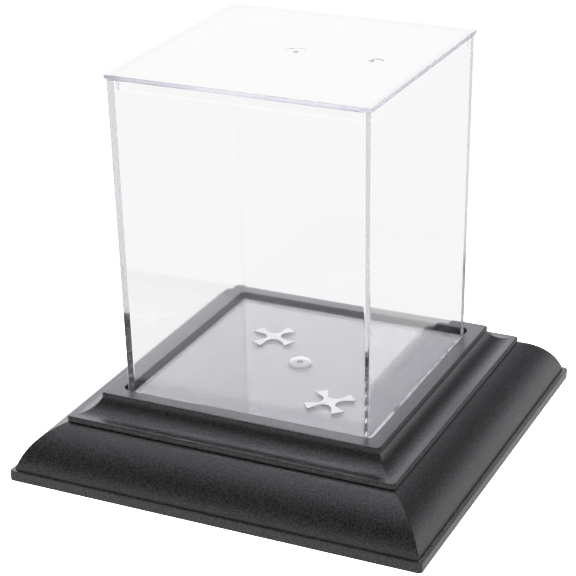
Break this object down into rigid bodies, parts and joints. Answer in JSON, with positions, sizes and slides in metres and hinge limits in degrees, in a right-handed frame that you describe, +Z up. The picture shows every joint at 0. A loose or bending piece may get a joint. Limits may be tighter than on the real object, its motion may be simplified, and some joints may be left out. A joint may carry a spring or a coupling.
{
  "type": "acrylic display cube",
  "caption": "Clear square display box with a lift-off lid, standing in a shallow recess on a black stepped plinth with a rounded slope.",
  "frame": {"origin": "middle of the plinth's foot, on the surface the object stands on", "axes": "+Z up; the object's square sides face X and Y; the lid's small round moulding mark is on its +X side"},
  "size_m": [0.167, 0.167, 0.1542],
  "materials": {
    "black_plastic": "satin",
    "clear_plastic": "polished",
    "white_foam": "matte"
  },
  "bodies": {
    "plinth": {"plinth": "black_plastic"},
    "case": {"case": "clear_plastic", "grip_cross_back": "white_foam", "grip_cross_front": "white_foam"},
    "lid": {"lid": "clear_plastic"}
  },
  "joints": [
    {"name": "case_lift", "type": "slide", "parent": "plinth", "child": "case", "axis": [0, 0, 1], "range_m": [0, 0.05]},
    {"name": "lid_lift", "type": "slide", "parent": "case", "child": "lid", "axis": [0, 0, 1], "range_m": [0, 0.07]}
  ]
}
